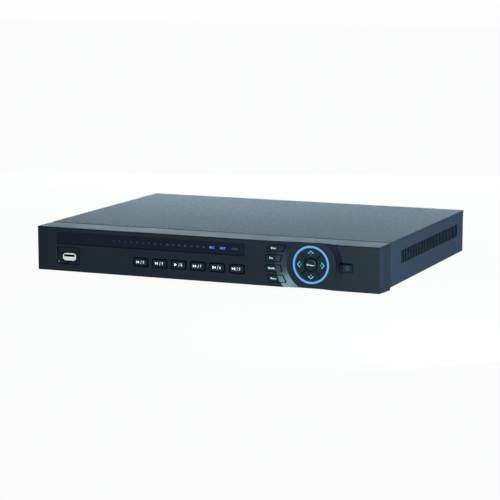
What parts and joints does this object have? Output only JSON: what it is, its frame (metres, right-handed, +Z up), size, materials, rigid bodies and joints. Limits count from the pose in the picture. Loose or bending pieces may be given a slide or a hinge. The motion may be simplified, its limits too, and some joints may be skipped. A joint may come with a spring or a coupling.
{
  "type": "digital video recorder",
  "caption": "One-unit digital video recorder: flat steel case, dark front bezel with indicator window, key row, lit round navigation pad and rear connector field.",
  "frame": {"origin": "under the middle of the object's box, on the surface that the feet stand on", "axes": "+X to the right seen from the front, +Y to the back, +Z up; the front face looks along -Y"},
  "size_m": [0.375, 0.2986, 0.0485],
  "materials": {
    "bezel_plastic": "dark slate-navy ABS, satin to gloss",
    "window_plastic": "smoked dark blue acrylic, polished",
    "ring_plastic": "translucent blue light guide, lit from behind",
    "key_plastic": "dark slate ABS, satin",
    "wrinkle_paint": "slate blue-grey powder coat with a fine wrinkle",
    "sheet_steel": "grey painted and zinc coated sheet steel, satin",
    "zinc_steel": "zinc plated steel",
    "nickel": "nickel plated, polished",
    "brass": "plated brass",
    "heatsink_aluminium": "extruded aluminium, satin",
    "cast_aluminium": "cast aluminium, matt",
    "black_plastic": "black moulded plastic",
    "component_plastic": "black moulded component bodies",
    "fan_plastic": "black moulded plastic",
    "white_plastic": "white moulded insulator",
    "blue_plastic": "blue moulded insulator",
    "green_plastic": "green moulded terminal block",
    "led_plastic": "clear light-emitting diodes",
    "cable_plastic": "red cable jacket",
    "ribbon_plastic": "pale grey ribbon cable",
    "circuit_board": "green solder-masked board",
    "foot_rubber": "black rubber, matt"
  },
  "bodies": {
    "case": {"front_bezel": "bezel_plastic", "indicator_window": "window_plastic", "light_ring": "ring_plastic", "nav_carrier": "black_plastic", "front_usb_shell": "nickel", "front_usb_core": "white_plastic", "key_board": "circuit_board", "switch_bodies": "black_plastic", "front_leds": "led_plastic", "front_screws": "zinc_steel", "chassis_base": "sheet_steel", "rear_panel": "sheet_steel", "top_cover": "wrinkle_paint", "case_screws": "zinc_steel", "rubber_feet": "foot_rubber", "ground_screw": "brass", "video_block": "black_plastic", "bnc_shells": "nickel", "bnc_cores": "white_plastic", "audio_block": "black_plastic", "rca_shells": "nickel", "rca_cores": "white_plastic", "vga_shell": "nickel", "vga_core": "blue_plastic", "vga_posts": "zinc_steel", "hdmi_socket": "nickel", "rear_usb_shell": "nickel", "rear_usb_core": "white_plastic", "network_jack": "nickel", "alarm_terminal": "green_plastic", "power_inlet": "black_plastic", "switch_housing": "black_plastic", "fan_frame": "black_plastic", "main_board": "circuit_board", "board_components": "component_plastic", "heatsink": "heatsink_aluminium", "backup_battery": "zinc_steel", "hard_drive_left": "cast_aluminium", "hard_drive_right": "cast_aluminium", "inner_screws": "zinc_steel", "drive_cables": "cable_plastic", "front_ribbon": "ribbon_plastic"},
    "media_key_1": {"media_key_1": "key_plastic"},
    "media_key_2": {"media_key_2": "key_plastic"},
    "media_key_3": {"media_key_3": "key_plastic"},
    "media_key_4": {"media_key_4": "key_plastic"},
    "media_key_5": {"media_key_5": "key_plastic"},
    "media_key_6": {"media_key_6": "key_plastic"},
    "function_key_1": {"function_key_1": "key_plastic"},
    "function_key_2": {"function_key_2": "key_plastic"},
    "function_key_3": {"function_key_3": "key_plastic"},
    "function_key_4": {"function_key_4": "key_plastic"},
    "arrow_key_right": {"arrow_key_right": "key_plastic"},
    "arrow_key_up": {"arrow_key_up": "key_plastic"},
    "arrow_key_left": {"arrow_key_left": "key_plastic"},
    "arrow_key_down": {"arrow_key_down": "key_plastic"},
    "enter_key": {"enter_key": "key_plastic"},
    "power_key": {"power_key": "key_plastic"},
    "rocker": {"power_rocker": "black_plastic"},
    "fan_rotor": {"fan_rotor": "fan_plastic"}
  },
  "joints": [
    {"name": "media_key_1_press", "type": "slide", "parent": "case", "child": "media_key_1", "axis": [0, 1, 0], "range_m": [0, 0.0006], "stiffness_N_per_m": 2500},
    {"name": "media_key_2_press", "type": "slide", "parent": "case", "child": "media_key_2", "axis": [0, 1, 0], "range_m": [0, 0.0006], "stiffness_N_per_m": 2500},
    {"name": "media_key_3_press", "type": "slide", "parent": "case", "child": "media_key_3", "axis": [0, 1, 0], "range_m": [0, 0.0006], "stiffness_N_per_m": 2500},
    {"name": "media_key_4_press", "type": "slide", "parent": "case", "child": "media_key_4", "axis": [0, 1, 0], "range_m": [0, 0.0006], "stiffness_N_per_m": 2500},
    {"name": "media_key_5_press", "type": "slide", "parent": "case", "child": "media_key_5", "axis": [0, 1, 0], "range_m": [0, 0.0006], "stiffness_N_per_m": 2500},
    {"name": "media_key_6_press", "type": "slide", "parent": "case", "child": "media_key_6", "axis": [0, 1, 0], "range_m": [0, 0.0006], "stiffness_N_per_m": 2500},
    {"name": "function_key_1_press", "type": "slide", "parent": "case", "child": "function_key_1", "axis": [0, 1, 0], "range_m": [0, 0.0006], "stiffness_N_per_m": 2500},
    {"name": "function_key_2_press", "type": "slide", "parent": "case", "child": "function_key_2", "axis": [0, 1, 0], "range_m": [0, 0.0006], "stiffness_N_per_m": 2500},
    {"name": "function_key_3_press", "type": "slide", "parent": "case", "child": "function_key_3", "axis": [0, 1, 0], "range_m": [0, 0.0006], "stiffness_N_per_m": 2500},
    {"name": "function_key_4_press", "type": "slide", "parent": "case", "child": "function_key_4", "axis": [0, 1, 0], "range_m": [0, 0.0006], "stiffness_N_per_m": 2500},
    {"name": "arrow_key_right_press", "type": "slide", "parent": "case", "child": "arrow_key_right", "axis": [0, 1, 0], "range_m": [0, 0.0006], "stiffness_N_per_m": 2500},
    {"name": "arrow_key_up_press", "type": "slide", "parent": "case", "child": "arrow_key_up", "axis": [0, 1, 0], "range_m": [0, 0.0006], "stiffness_N_per_m": 2500},
    {"name": "arrow_key_left_press", "type": "slide", "parent": "case", "child": "arrow_key_left", "axis": [0, 1, 0], "range_m": [0, 0.0006], "stiffness_N_per_m": 2500},
    {"name": "arrow_key_down_press", "type": "slide", "parent": "case", "child": "arrow_key_down", "axis": [0, 1, 0], "range_m": [0, 0.0006], "stiffness_N_per_m": 2500},
    {"name": "enter_key_press", "type": "slide", "parent": "case", "child": "enter_key", "axis": [0, 1, 0], "range_m": [0, 0.0006], "stiffness_N_per_m": 2500},
    {"name": "power_key_press", "type": "slide", "parent": "case", "child": "power_key", "axis": [0, 1, 0], "range_m": [0, 0.0006], "stiffness_N_per_m": 2500},
    {"name": "power_rocker_tilt", "type": "hinge", "parent": "case", "child": "rocker", "pos_m": [0.171, 0.13225, 0.033], "axis": [1, 0, 0], "range_deg": [-18, 0]},
    {"name": "fan_spin", "type": "hinge", "parent": "case", "child": "fan_rotor", "pos_m": [0.134, 0.12625, 0.026], "axis": [0, 1, 0], "continuous": true}
  ]
}
